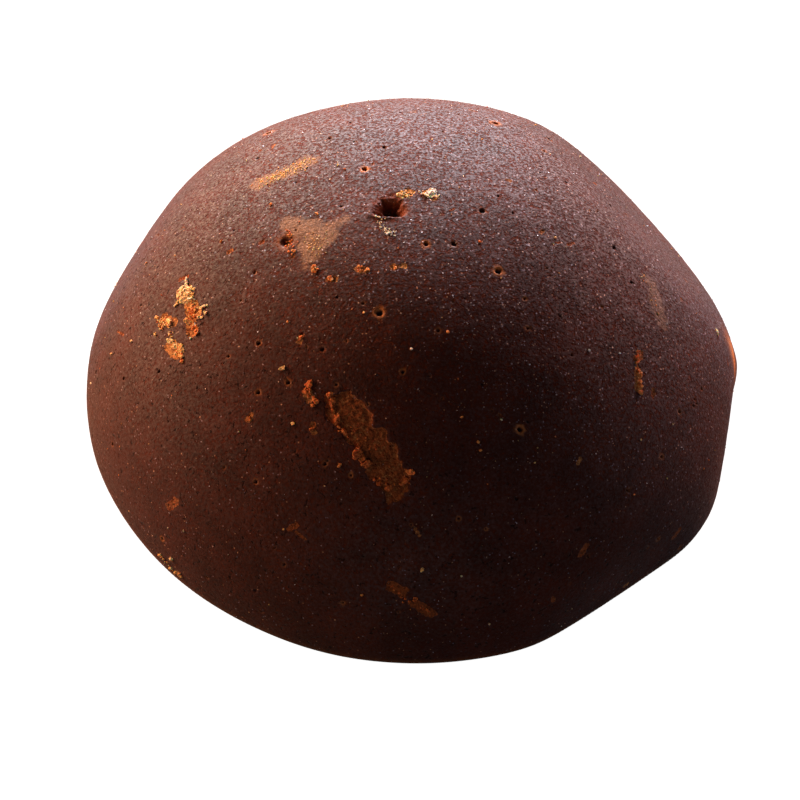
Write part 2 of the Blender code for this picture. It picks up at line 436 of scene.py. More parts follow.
# Painted glow: the bottom edge and the thin flash on the right are marked for a bright amber colour, painted in for
# light shining through the thin sugar there
GLOW_EDGE_HEIGHT = 1.9
bottom_edge_glow = 0.16 * (1 - smooth_step(0.6, GLOW_EDGE_HEIGHT, points[:, 2]))
flash_glow = 1.7 * np.exp(-(((turned - 5.0) / 3.0) ** 2) - ((points[:, 2] - 6.8) / 3.0) ** 2)
painted_edge_glow = np.where(on_skin, np.maximum(bottom_edge_glow, flash_glow), 0)

# The sugar has bloomed most on the top and towards the back, where the lamps light it; this mask also paints more
# glints and haze on that side and darker pits away from it
SUGAR_AND_LIT_SIDE = direction(50, 55)
sugar_and_lit_side = np.where(on_skin, 0.15 + 0.85 * smooth_step(0.10, 0.85, unit(points) @ SUGAR_AND_LIT_SIDE), 0)
sugar_and_lit_side *= smooth_step(0.2, 0.6, points[:, 2])

lump_mesh = bpy.data.meshes.new("cast_lump")
lump_mesh.from_pydata((points * TO_METRES).tolist(), [], corners.tolist())
lump_mesh.shade_smooth()
skin_facts = {
    "inside_chip": inside, "bared": bared, "hollow_depth_and_shade": hollow_depth_and_shade, "golden_ring": ring,
    "painted_edge_glow": painted_edge_glow, "rusty": rusty, "worn": worn, "sugar_and_lit_side": sugar_and_lit_side,
}
for fact_name, fact in skin_facts.items():
    lump_mesh.attributes.new(fact_name, "FLOAT", "POINT").data.foreach_set("value", fact.astype(np.float32))


def lay(tree, kind, sockets=None, **settings):
    """Adds a node. Sockets gives an input, by name or number, a value or the output that feeds it."""
    new = tree.nodes.new(kind)
    for name, value in settings.items():
        setattr(new, name, value)
    for name, value in (sockets or {}).items():
        if isinstance(value, bpy.types.NodeSocket):
            tree.links.new(value, new.inputs[name])
        else:
            new.inputs[name].default_value = value
    return new


class Finish:
    """One material being laid out: each method adds a node and gives back its output."""

    def __init__(self, name):
        self.material = bpy.data.materials.new(name)
        self.material.use_nodes = True
        self.tree = self.material.node_tree
        self.tree.nodes.clear()
        self.place = lay(self.tree, "ShaderNodeTexCoord").outputs["Object"]

    def noise(self, size, detail=2.0):
        sockets = {"Vector": self.place, "Scale": 1 / (size * TO_METRES), "Detail": detail}
        return lay(self.tree, "ShaderNodeTexNoise", sockets).outputs["Fac"]

    def grains(self, size):
        """Grains of this size: their random colours, and the distance from the middle of each."""
        sockets = {"Vector": self.place, "Scale": 1 / (size * TO_METRES)}
        cells = lay(self.tree, "ShaderNodeTexVoronoi", sockets)
        return cells.outputs["Color"], cells.outputs["Distance"]

    def parts(self, colour):
        return lay(self.tree, "ShaderNodeSeparateColor", {"Color": colour}).outputs

    def fact(self, name):
        return lay(self.tree, "ShaderNodeAttribute", attribute_name=name).outputs["Fac"]

    def sum(self, a, b, operation="ADD"):
        return lay(self.tree, "ShaderNodeMath", {0: a, 1: b}, operation=operation).outputs[0]

    def times(self, a, b):
        return self.sum(a, b, "MULTIPLY")

    def span(self, value, low, high, to_low=0.0, to_high=1.0, smooth=False):
        sockets = {"Value": value, "From Min": low, "From Max": high, "To Min": to_low, "To Max": to_high}
        kind = "SMOOTHSTEP" if smooth else "LINEAR"
        return lay(self.tree, "ShaderNodeMapRange", sockets, interpolation_type=kind).outputs[0]

    def blend(self, share, under, over, way="MIX"):
        sockets = {0: share, 6: under, 7: over}
        mixed = lay(self.tree, "ShaderNodeMix", sockets, data_type="RGBA", blend_type=way)
        return mixed.outputs[2]

    def tilted(self, grain_colour, amount):
        """The surface's normal, tipped a different way on each grain."""
        shift = lay(self.tree, "ShaderNodeVectorMath", {0: grain_colour, 1: (0.5, 0.5, 0.5)}, operation="SUBTRACT")
        shift = lay(self.tree, "ShaderNodeVectorMath", {0: shift.outputs[0], "Scale": amount}, operation="SCALE")
        facing = lay(self.tree, "ShaderNodeNewGeometry").outputs["Normal"]
        tipped = lay(self.tree, "ShaderNodeVectorMath", {0: facing, 1: shift.outputs[0]}, operation="ADD")
        return lay(self.tree, "ShaderNodeVectorMath", {0: tipped.outputs[0]}, operation="NORMALIZE").outputs[0]

    def shader(self, height=None, normal=None, **sockets):
        """A Principled shader. The height is in millimetres, and its bumps stand on the normal."""
        if height is not None:
            bump = lay(self.tree, "ShaderNodeBump", {"Height": height, "Distance": TO_METRES})
            if normal is not None:
                self.tree.links.new(normal, bump.inputs["Normal"])
            normal = bump.outputs[0]
        body = lay(self.tree, "ShaderNodeBsdfPrincipled")
        if normal is not None:
            self.tree.links.new(normal, body.inputs["Normal"])
        for name, value in sockets.items():
            socket = body.inputs[name.replace("_", " ").title().replace("Ior", "IOR")]
            if isinstance(value, bpy.types.NodeSocket):
                self.tree.links.new(value, socket)
            else:
                socket.default_value = value
        lay(self.tree, "ShaderNodeOutputMaterial", {"Surface": body.outputs[0]})
        return self.material


PLAIN_SYRUP = (0.064, 0.0103, 0.0046, 1)
# pale sugar bloom, its lilac tint partly painted haze of reflected light
BLOOM_AND_HAZE = (0.074, 0.0190, 0.0150, 1)
RUST_HOLLOW = (0.110, 0.0160, 0.0045, 1)
RUST_PIT = (0.150, 0.0260, 0.0070, 1)
# painted glints: pale colours for tiny highlights on the sugar grains
LILAC_GLINT = (0.220, 0.1500, 0.1900, 1)
PEACH_GLINT = (0.400, 0.1900, 0.1100, 1)
BARED_DULL = (0.265, 0.0610, 0.0180, 1)
BARED_GOLD = (0.850, 0.4000, 0.1400, 1)
RING_GOLD = (0.640, 0.2000, 0.0500, 1)
RAW_RUST = (0.240, 0.0500, 0.0150, 1)
POWDER_TAN = (0.400, 0.2300, 0.1500, 1)
# painted glow: amber for light shining through thin sugar
GLOW_AMBER = (0.950, 0.2700, 0.0250, 1)
# painted shade for the insides of pores, pits and the blowhole
HOLLOW_SHADE = (0.012, 0.0040, 0.0030, 1)
GRAIN_SIZE = 0.24
BLOOM_SIZE = 0.38
PIT_SIZE = 0.60
FINE_SIZE = 0.11


def jaggery_skin():
    f = Finish("jaggery_skin")
    grain_colour, from_grain = f.grains(GRAIN_SIZE)
    one, two, three = f.parts(grain_colour)
    fine = f.noise(FINE_SIZE)
    patches = f.noise(5.0, 3.0)

    # Sugar blooms in pale, irregular spots, with rust-coloured hollows between and a few dark pits; the bloom's lilac
    # tint is partly painted haze of reflected light, and the pits' darkness partly painted shade
    sugar_and_lit_side = f.fact("sugar_and_lit_side")
    bloom_noise = f.sum(f.noise(BLOOM_SIZE, 3.0), f.times(f.sum(one, -0.5), 0.16))
    uneven = f.times(f.sum(bloom_noise, -0.5), f.span(sugar_and_lit_side, 0.15, 0.8, 0.50, 1.0))
    bloom = f.span(uneven, -0.05, 0.14)
    rust = f.span(uneven, -0.15, -0.05, 1.0, 0.0)
    pit = f.span(f.noise(PIT_SIZE, 3.0), 0.61, 0.70)
    colour = f.blend(bloom, PLAIN_SYRUP, BLOOM_AND_HAZE)
    colour = f.blend(rust, colour, RUST_HOLLOW)
    colour = f.blend(1.0, colour, f.span(patches, 0.3, 0.7, 0.75, 1.25), "MULTIPLY")
    # Painted shade: pits are near black away from the lit side and rust-coloured on it
    pit_colour = f.blend(f.span(sugar_and_lit_side, 0.15, 0.6), HOLLOW_SHADE, RUST_PIT)
    colour = f.blend(f.times(pit, 0.75), colour, pit_colour)
    # Painted glints: a few grains are coloured pale lilac and peach as small highlights, more of them on the lit side
    painted_glint = f.times(f.span(f.sum(two, f.times(sugar_and_lit_side, 0.06)), 0.975, 0.99), f.span(from_grain, 0.28, 0.45, 1.0, 0.0))
    colour = f.blend(painted_glint, colour, f.blend(f.span(three, 0.62, 0.66), LILAC_GLINT, PEACH_GLINT))

    # Painted glow: light shining through the thin bottom edge and the flash is painted in as amber
    edge_glow_here = f.times(f.fact("painted_edge_glow"), f.span(f.noise(0.8), 0.3, 0.7, 0.5, 1.0))
    colour = f.blend(f.span(edge_glow_here, 0.0, 1.0), colour, GLOW_AMBER)
    colour = f.blend(f.fact("golden_ring"), colour, RING_GOLD)
    colour = f.blend(f.fact("rusty"), colour, RAW_RUST)

    powder = f.sum(f.fact("worn"), f.times(f.sum(f.noise(0.4, 4.0), -0.5), 1.0))
    powdered = f.times(f.span(powder, 0.15, 0.75), f.span(from_grain, 0.15, 0.75, 1.0, 0.5))
    tan = f.blend(1.0, POWDER_TAN, f.span(fine, 0.3, 0.7, 0.70, 1.30), "MULTIPLY")
    colour = f.blend(powdered, colour, tan)

    edge = f.sum(f.fact("inside_chip"), f.times(f.sum(f.noise(0.3), -0.5), 0.35))
    chipped = f.span(edge, -0.04, 0.06, smooth=True)
    gold = f.sum(f.fact("bared"), f.times(f.sum(f.noise(0.45), -0.5), 0.9))
    bared_colour = f.blend(f.span(gold, 0.1, 0.95), BARED_DULL, BARED_GOLD)
    bared_colour = f.blend(1.0, bared_colour, f.span(one, 0, 1, 0.6, 1.3), "MULTIPLY")
    colour = f.blend(chipped, colour, bared_colour)
    # Painted shade: the insides of pores and the blowhole are coloured near black
    colour = f.blend(f.span(f.fact("hollow_depth_and_shade"), 0.25, 0.9, 0.0, 0.95), colour, HOLLOW_SHADE)

    bared = f.sum(chipped, f.fact("rusty"), "MAXIMUM")
    dull = f.sum(bared, f.sum(f.sum(pit, rust, "MAXIMUM"), powdered, "MAXIMUM"), "MAXIMUM")
    facet = f.span(f.sum(two, f.times(sugar_and_lit_side, 0.04)), 0.975, 0.995)
    tilt = f.sum(f.span(facet, 0.0, 1.0, 0.25, 0.9), f.span(dull, 0.0, 1.0, 1.0, 0.3), "MULTIPLY")
    glaze = f.times(f.span(bloom, 0.0, 1.0, 0.08, 0.52), f.span(dull, 0.0, 1.0, 1.0, 0.0))
    roughness = f.span(bloom, 0.0, 1.0, 0.75, 0.55)
    roughness = f.sum(f.sum(roughness, f.times(facet, -0.15)), f.times(dull, 0.50))
    height = f.times(from_grain, -0.030)
    height = f.sum(height, f.times(fine, 0.030))
    height = f.sum(height, f.times(bloom, 0.020))
    height = f.sum(height, f.times(rust, -0.040))
    height = f.sum(height, f.times(pit, -0.08))
    height = f.sum(height, f.times(f.times(chipped, f.noise(0.22)), 0.14))
    return f.shader(
        height, f.tilted(grain_colour, tilt), base_color=colour, roughness=roughness,
        ior=1.5, specular_ior_level=0.05, sheen_weight=0.10, sheen_roughness=0.5,
        coat_weight=glaze, coat_roughness=0.6,
    )


lump_mesh.materials.append(jaggery_skin())
cast_lump = bpy.data.objects.new("cast_lump", lump_mesh)
bpy.context.scene.collection.objects.link(cast_lump)
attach(cast_lump, "root")
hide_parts("jaggery_lump")

# ---------------------------------------------------------------------------------------------
# Sugar grains. Palm sugar crystals stand out of the set syrup all over the skin. They are part of
# the cast, each a blocky crystal about as wide as a hair is thick, half sunk in the dark syrup.
# ---------------------------------------------------------------------------------------------

GRAINS_PER_SQUARE_MM = 0.6
GRAIN_WIDTHS = (0.09, 0.20)
GRAIN_SEED = 11


def new_tree(name, inputs):
    """A Geometry Nodes tree with a geometry input and output and these named number inputs."""
    tree = bpy.data.node_groups.new(name, "GeometryNodeTree")
    tree.interface.new_socket("Geometry", in_out="INPUT", socket_type="NodeSocketGeometry")
    tree.interface.new_socket("Geometry", in_out="OUTPUT", socket_type="NodeSocketGeometry")
    for input_name, kind in inputs.items():
        tree.interface.new_socket(input_name, in_out="INPUT", socket_type=kind)
    return tree, lay(tree, "NodeGroupInput").outputs


def random_number(tree, low, high, seed, kind="FLOAT"):
    number = lay(tree, "FunctionNodeRandomValue", {"Seed": seed}, data_type=kind)
    first = {"FLOAT": 2, "FLOAT_VECTOR": 0}[kind]
    for socket, value in ((first, low), (first + 1, high)):
        if isinstance(value, bpy.types.NodeSocket):
            tree.links.new(value, number.inputs[socket])
        else:
            number.inputs[socket].default_value = value
    return number.outputs[{"FLOAT": 1, "FLOAT_VECTOR": 0}[kind]]


def grown(name, base_mesh, tree, values, material):
    """A new piece: the tree's result on the base mesh, as a plain mesh."""
    piece = bpy.data.objects.new(name, base_mesh)
    bpy.context.scene.collection.objects.link(piece)
    modifier = piece.modifiers.new(name, "NODES")
    modifier.node_group = tree
    sockets = {item.name: item.identifier for item in tree.interface.items_tree if item.in_out == "INPUT"}
    for value_name, value in values.items():
        modifier[sockets[value_name]] = value
    finished = piece.evaluated_get(bpy.context.evaluated_depsgraph_get())
    result = bpy.data.meshes.new_from_object(finished)
    result.name = name
    piece.modifiers.remove(modifier)
    piece.data = result
    result.materials.clear()
    result.materials.append(material)
    return piece


def sugar_grain_tree():
    inputs = {"Density": "NodeSocketFloat", "Least width": "NodeSocketFloat", "Most width": "NodeSocketFloat",
              "Seed": "NodeSocketInt", "Material": "NodeSocketMaterial"}
    tree, given = new_tree("sugar_grains", inputs)
    sugar_and_lit_side = lay(tree, "GeometryNodeInputNamedAttribute", {"Name": "sugar_and_lit_side"}, data_type="FLOAT").outputs[0]
    place = lay(tree, "GeometryNodeInputPosition").outputs[0]
    patches = lay(tree, "ShaderNodeTexNoise", {"Vector": place, "Scale": 160.0}).outputs["Fac"]
    patches = lay(tree, "ShaderNodeMapRange", {0: patches, 1: 0.35, 2: 0.65, 3: 0.4, 4: 1.6}).outputs[0]
    dense = lay(tree, "ShaderNodeMath", {0: given["Density"], 1: patches}, operation="MULTIPLY").outputs[0]
    dense = lay(tree, "ShaderNodeMath", {0: dense, 1: sugar_and_lit_side}, operation="MULTIPLY").outputs[0]
    spread = lay(
        tree, "GeometryNodeDistributePointsOnFaces",
        {"Mesh": given["Geometry"], "Density": dense, "Seed": given["Seed"]},
    )
    block = lay(tree, "GeometryNodeMeshCube", {"Size": (1.0, 0.8, 0.65)}).outputs[0]
    turns = random_number(tree, (0, 0, 0), (math.tau, math.tau, math.tau), 1, "FLOAT_VECTOR")
    width = random_number(tree, given["Least width"], given["Most width"], 2)
    inwards = lay(tree, "ShaderNodeVectorMath", {0: spread.outputs["Normal"], "Scale": -0.00005}, operation="SCALE")
    sunk_in = lay(tree, "GeometryNodeSetPosition", {"Geometry": spread.outputs[0], "Offset": inwards.outputs[0]})
    placed = lay(
        tree, "GeometryNodeInstanceOnPoints",
        {"Points": sunk_in.outputs[0], "Instance": block, "Rotation": turns, "Scale": width},
    )
    tone = random_number(tree, 0.0, 1.0, 3)
    toned = lay(
        tree, "GeometryNodeStoreNamedAttribute",
        {"Geometry": placed.outputs[0], "Name": "tone", "Value": tone}, data_type="FLOAT", domain="INSTANCE",
    )
    real = lay(tree, "GeometryNodeRealizeInstances", {"Geometry": toned.outputs[0]})
    done = lay(tree, "GeometryNodeSetMaterial", {"Geometry": real.outputs[0], "Material": given["Material"]})
    lay(tree, "NodeGroupOutput", {0: done.outputs[0]})
    return tree


def sugar_finish():
    f = Finish("sugar_grain")
    tone = f.fact("tone")
    colour = f.blend(f.span(tone, 0.0, 0.75), (0.20, 0.065, 0.030, 1), (0.50, 0.26, 0.18, 1))
    colour = f.blend(f.span(tone, 0.75, 0.95), colour, (0.75, 0.62, 0.68, 1))
    cloudy = f.noise(0.09)
    colour = f.blend(1.0, colour, f.span(cloudy, 0.3, 0.7, 0.8, 1.15), "MULTIPLY")
    return f.shader(f.times(cloudy, 0.01), base_color=colour, roughness=f.span(cloudy, 0.3, 0.7, 0.18, 0.4), ior=1.54)


sugar_grain = sugar_finish()
sugar_grains = grown(
    "sugar_grains", lump_mesh, sugar_grain_tree(),
    {"Density": GRAINS_PER_SQUARE_MM / TO_METRES**2, "Least width": GRAIN_WIDTHS[0] * TO_METRES,
     "Most width": GRAIN_WIDTHS[1] * TO_METRES, "Seed": GRAIN_SEED, "Material": sugar_grain},
    sugar_grain,
)
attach(sugar_grains, "root")

# ---------------------------------------------------------------------------------------------
# Golden sugar. Where the skin was knocked or rubbed, the raw sugar underneath comes away as soft
# golden flakes and crumbs, which cling along the chips, round small craters and on the bottom edge.
# ---------------------------------------------------------------------------------------------

# azimuth, height, length, width, turn of the long side from level to uphill, tone, how far it stands out
FLAKES = [
    (-169.5, 39.4, 2.9, 2.3, 10, 0.85, 0.15), (-173, 40.0, 1.6, 0.40, -8, 1.05, 0.45),
    (-168.5, 37.4, 1.1, 0.42, -60, 0.80, 0.30), (-167.5, 40.8, 2.2, 0.45, 20, 0.95, 0.45),
    (-163, 42.6, 1.3, 0.38, 80, 0.95, 0.45), (-161, 42.6, 1.2, 0.36, 5, 0.85, 0.45),
    (-160.5, 41.5, 1.0, 0.36, 75, 0.85, 0.40), (-163.5, 40.2, 1.4, 1.1, 0, 0.15, 0.05),
    (-161.5, 39.0, 1.6, 0.9, 10, 0.60, 0.20), (-157.5, 39.6, 1.2, 0.8, 30, 0.20, 0.10),
    (-160, 40.0, 0.42, 0.36, 0, 1.25, 0.60), (-157, 38.2, 0.36, 0.32, 0, 1.25, 0.40),
    (-165, 35.0, 1.4, 1.0, 20, 0.75, 0.25), (-166.5, 33.6, 0.9, 0.6, 60, 0.55, 0.20),
    (-168.5, 32.5, 0.9, 0.45, 30, 0.50, 0.15), (-164.5, 31.5, 0.7, 0.4, 0, 0.60, 0.15),
    (-162, 34.6, 0.36, 0.32, 0, 1.25, 0.50), (-160, 34.3, 0.9, 0.7, 40, 0.95, 0.35),
    (-158, 34.9, 1.0, 0.7, 10, 0.85, 0.35), (-156.5, 35.6, 1.3, 1.0, -20, 0.70, 0.25),
    (-155, 35.1, 1.2, 0.9, 30, 0.35, 0.15), (-153.5, 34.8, 0.8, 0.6, 0, 0.20, 0.10),
    (-121.5, 48.2, 1.1, 0.8, 60, 0.05, 0.30), (-121, 46.8, 1.0, 0.8, 20, 0.0, 0.30),
    (-117, 46.0, 0.8, 0.5, 50, 0.10, 0.30), (-117.5, 45.2, 0.6, 0.4, 0, 0.10, 0.30),
    (-114.5, 48.2, 0.9, 0.6, 70, 0.15, 0.35), (-113, 47.2, 1.3, 0.7, 80, 0.0, 0.30),
    (-110, 44.5, 1.4, 0.7, 80, 0.02, 0.25), (-107, 42.6, 1.3, 0.7, -40, 0.02, 0.25),
    (-102.5, 39.9, 1.9, 1.3, -10, 0.03, 0.35), (-101.5, 39.2, 1.2, 0.9, 20, 0.06, 0.35),
    (-100, 38.3, 1.2, 0.9, 60, -0.03, 0.35), (-96.5, 35.6, 1.1, 0.7, 80, -0.15, 0.20),
    (-94.5, 34.7, 1.0, 0.7, 0, 0.0, 0.15), (-90, 37.9, 1.2, 0.6, -20, 0.15, 0.25),
    (-91, 36.2, 1.0, 0.6, 60, 0.0, 0.15), (-106, 37.0, 0.6, 0.4, 50, 0.15, 0.30),
    (-131, 48.0, 0.8, 0.5, 50, 0.75, 0.30), (-133, 54.5, 0.7, 0.5, 70, 0.15, 0.25),
    (-130, 37.5, 0.7, 0.45, 80, 0.20, 0.25), (-115, 41.4, 0.8, 0.4, 0, -0.1, 0.25),
    (-120, 40.7, 0.5, 0.35, 30, 0.70, 0.35), (-87, 21.2, 0.55, 0.4, 30, 0.70, 0.35),
    (-92, 17.9, 0.8, 0.4, 0, -0.2, 0.15), (-88, 15.9, 0.8, 0.5, 30, -0.1, 0.15),
    (-86, 13.8, 0.9, 0.5, -30, -0.2, 0.15),
    (118, 79.0, 1.2, 0.9, 20, 0.75, 0.10), (110, 79.4, 0.8, 0.6, 80, 0.90, 0.15),
    (105, 79.0, 0.7, 0.5, 40, 0.60, 0.10), (87, 79.8, 1.1, 0.8, 0, 0.90, 0.10),
    (81, 78.8, 1.6, 1.2, 10, 1.30, 0.15), (75, 79.8, 0.7, 0.5, 60, 0.85, 0.10),
    (-23, 38.9, 1.0, 0.6, 40, 0.20, 0.15), (-21.5, 39.7, 0.7, 0.4, 60, 0.0, 0.10),
    (-26, 37.4, 1.4, 0.8, 60, 0.25, 0.30), (-28, 36.3, 1.4, 0.85, 60, 0.30, 0.30),
    (-29, 35.4, 1.0, 0.7, 60, 0.25, 0.30),
    (2, 20.6, 1.0, 0.7, 30, 1.05, 0.30), (-32, 47.5, 0.55, 0.3, 30, 1.25, 0.40),
    (-145, 67.1, 0.9, 0.5, 30, 0.20, 0.20), (-156, 65.5, 0.9, 0.6, 0, 0.25, 0.20),
    (-139, 73.0, 0.9, 0.5, 60, 0.25, 0.20), (-134, 74.2, 0.6, 0.4, 10, 0.30, 0.20),
    (-117, 77.8, 0.7, 0.5, 0, 0.35, 0.15), (-133, 5.4, 0.6, 0.5, 30, 0.90, 0.40),
    (-135.5, 3.6, 1.0, 0.5, 0, 0.45, 0.20), (-131, 3.0, 1.2, 0.5, 0, 0.55, 0.20),
    (64, 12.5, 1.6, 1.0, 50, 0.20, 0.25), (70, 16.5, 1.1, 0.7, 0, 0.30, 0.25),
    (109, 13.5, 1.2, 0.8, 60, 0.55, 0.25),
]

# places along the middle of each heap, half its width, how many crumbs, the largest, tone, how high it heaps
HEAPS = [
    ([(-172, 40), (-163, 40.6)], 0.80, 50, 0.45, 0.70, 0.5),
    ([(-163, 40), (-158, 39.4)], 0.65, 36, 0.45, 0.35, 0.4),
    ([(-167, 33), (-164, 35)], 0.75, 40, 0.40, 0.65, 0.4),
    ([(-161, 34.4), (-154, 35.4)], 0.80, 60, 0.42, 0.70, 0.4),
    ([(-121, 47.8), (-117, 45.8)], 0.45, 16, 0.42, 0.10, 0.4),
    ([(-114, 48), (-110, 44), (-106, 42)], 0.35, 30, 0.45, 0.0, 0.4),
    ([(-103, 40), (-99, 38)], 0.45, 24, 0.45, 0.05, 0.4),
    ([(-97, 36), (-94, 34.8), (-91, 36), (-90, 38)], 0.40, 30, 0.45, 0.0, 0.3),
    ([(-109, 46), (-101, 41.5), (-94, 37)], 1.20, 40, 0.36, -0.3, 0.2),
    ([(-92, 17.6), (-89, 15.6), (-86, 13.6)], 0.55, 18, 0.40, -0.2, 0.3),
    ([(153, 49.8), (146, 53.6), (137, 56)], 1.25, 200, 0.28, 0.80, 0.0),
    ([(-169, 66), (-176, 68.5)], 1.80, 60, 0.22, 0.80, 0.0),
    ([(178, 61.5), (-168, 61.8)], 0.65, 26, 0.40, 0.25, 0.3),
    ([(-157, 66), (-154, 65)], 0.50, 14, 0.40, 0.35, 0.3),
    ([(-146, 67.2), (-143, 67.2)], 0.35, 8, 0.36, 0.25, 0.3),
    ([(167, 66.7), (168, 66.7)], 0.20, 5, 0.36, 0.35, 0.3),
    ([(160, 80.0), (173, 80.8), (-172, 82.0), (-160, 84)], 0.50, 70, 0.30, 1.20, 0.1),
    ([(118, 79), (104, 79)], 0.62, 34, 0.36, 0.80, 0.2),
    ([(88, 79.3), (75, 79.5)], 0.65, 44, 0.36, 1.25, 0.2),
    ([(-140, 73), (-134, 74)], 0.36, 10, 0.36, 0.30, 0.3),
    ([(-21, 39.6), (-24, 38.6)], 0.30, 12, 0.36, 0.05, 0.3),
    ([(-25, 38), (-28, 36)], 0.24, 16, 0.36, 0.25, 0.3),
    ([(3, 42), (-4, 39), (-9, 38)], 0.90, 16, 0.26, 0.40, 0.1),
    ([(-136, 4), (-133, 2.8), (-130, 2.8)], 0.40, 20, 0.45, 0.55, 0.3),
    ([(64, 11), (68, 13)], 0.60, 12, 0.36, -0.10, 0.2),
    ([(111, 11), (107, 13)], 0.50, 14, 0.36, 0.10, 0.2),
]
LOOSE_CRUMBS = 150
CRUMB_SEED = 23
crumb_chance = np.random.default_rng(CRUMB_SEED)
bare_lump = BVHTree.FromPolygons(points.tolist(), corners.tolist())


class Bits:
    """Seats for bits of sugar: where each sits, its three widths, how it is turned and its tone."""

    def __init__(self):
        self.places, self.widths, self.turns, self.tones = [], [], [], []

    def seat(self, place, widths, turn, tilt, tone, rise):
        """Seats a bit on the skin, its middle this share of its thickness above it."""
        hit, facing, _, _ = bare_lump.find_nearest(Vector(place))
        seat = hit + facing * (rise * widths[2])
        seat.z = max(seat.z, max(widths) * 0.6)
        level = Vector((0, 0, 1)).cross(facing).normalized()
        uphill = facing.cross(level)
        long_side = level * math.cos(math.radians(turn)) + uphill * math.sin(math.radians(turn))
        frame_of_bit = Matrix((long_side, facing.cross(long_side), facing)).transposed().to_quaternion()
        tipped = frame_of_bit @ Matrix.Rotation(math.radians(tilt), 3, "Y").to_quaternion()
        self.places.append(seat)
        self.widths.append(widths)
        self.turns.append(tuple(tipped.to_euler()))
        self.tones.append(tone)

    def as_mesh(self, name):
        mesh = bpy.data.meshes.new(name)
        mesh.from_pydata([tuple(place * TO_METRES) for place in self.places], [], [])
        widths = np.array(self.widths, np.float32) * TO_METRES
        mesh.attributes.new("widths", "FLOAT_VECTOR", "POINT").data.foreach_set("vector", widths.ravel())
        turns = np.array(self.turns, np.float32)
        mesh.attributes.new("turned", "FLOAT_VECTOR", "POINT").data.foreach_set("vector", turns.ravel())
        mesh.attributes.new("tone", "FLOAT", "POINT").data.foreach_set("value", self.tones)
        return mesh


flakes = Bits()
for azimuth, height, length, width, turn, tone, rise in FLAKES:
    thickness = 0.22 * width + 0.12
    flakes.seat(skin_place(azimuth, height), (length, width, thickness), turn, crumb_chance.normal(0, 12), tone, rise)

crumbs = Bits()
for places, half_width, count, largest, tone, heap in HEAPS:
    path = np.array([skin_place(*place) for place in places])
    reached = np.append(0, np.cumsum(np.linalg.norm(np.diff(path, axis=0), axis=1)))
    for _ in range(count):
        along = crumb_chance.uniform(0, reached[-1])
        middle = np.array([np.interp(along, reached, path[:, axis]) for axis in range(3)])
        aside = crumb_chance.normal(0, half_width * 0.5, 3)
        widths = largest * crumb_chance.uniform(0.35, 1.0) * crumb_chance.uniform(0.7, 1.25, 3)
        nearness = math.exp(-float(aside @ aside) / half_width**2)
        turn, tilt = crumb_chance.uniform(0, 360), crumb_chance.uniform(-90, 90)
        rise = heap * nearness * crumb_chance.uniform(0, 1.2)
        crumbs.seat(middle + aside, widths, turn, tilt, tone + crumb_chance.normal(0, 0.15), rise)
for _ in range(LOOSE_CRUMBS):
    widths = (0.15 + 0.30 * crumb_chance.random() ** 3) * crumb_chance.uniform(0.7, 1.25, 3)
    turn, tilt = crumb_chance.uniform(0, 360), crumb_chance.uniform(-90, 90)
    crumbs.seat(skin_place(*chance_place()), widths, turn, tilt, crumb_chance.uniform(0.0, 1.2), 0.1)


def sugar_bit_tree():
    inputs = {"Fineness": "NodeSocketInt", "Lump size": "NodeSocketFloat", "Lumpiness": "NodeSocketFloat",
              "Material": "NodeSocketMaterial"}
    tree, given = new_tree("sugar_bits", inputs)
    seats = lay(tree, "GeometryNodeMeshToPoints", {"Mesh": given["Geometry"]}).outputs[0]
    nugget = lay(tree, "GeometryNodeMeshIcoSphere", {"Radius": 0.5, "Subdivisions": given["Fineness"]}).outputs[0]
    widths = lay(tree, "GeometryNodeInputNamedAttribute", {"Name": "widths"}, data_type="FLOAT_VECTOR").outputs[0]
    turned = lay(tree, "GeometryNodeInputNamedAttribute", {"Name": "turned"}, data_type="FLOAT_VECTOR").outputs[0]
    placed = lay(
        tree, "GeometryNodeInstanceOnPoints",
        {"Points": seats, "Instance": nugget, "Rotation": turned, "Scale": widths},
    )
    real = lay(tree, "GeometryNodeRealizeInstances", {"Geometry": placed.outputs[0]}).outputs[0]
    place = lay(tree, "GeometryNodeInputPosition").outputs[0]
    often = lay(tree, "ShaderNodeMath", {0: 1.0, 1: given["Lump size"]}, operation="DIVIDE").outputs[0]
    lumps = lay(tree, "ShaderNodeTexNoise", {"Vector": place, "Scale": often, "Detail": 2.5}).outputs["Color"]
    lumps = lay(tree, "ShaderNodeVectorMath", {0: lumps, 1: (0.5, 0.5, 0.5)}, operation="SUBTRACT").outputs[0]
    lumps = lay(tree, "ShaderNodeVectorMath", {0: lumps, "Scale": given["Lumpiness"]}, operation="SCALE")
    lumpy = lay(tree, "GeometryNodeSetPosition", {"Geometry": real, "Offset": lumps.outputs[0]}).outputs[0]
    done = lay(tree, "GeometryNodeSetMaterial", {"Geometry": lumpy, "Material": given["Material"]})
    lay(tree, "NodeGroupOutput", {0: done.outputs[0]})
    return tree


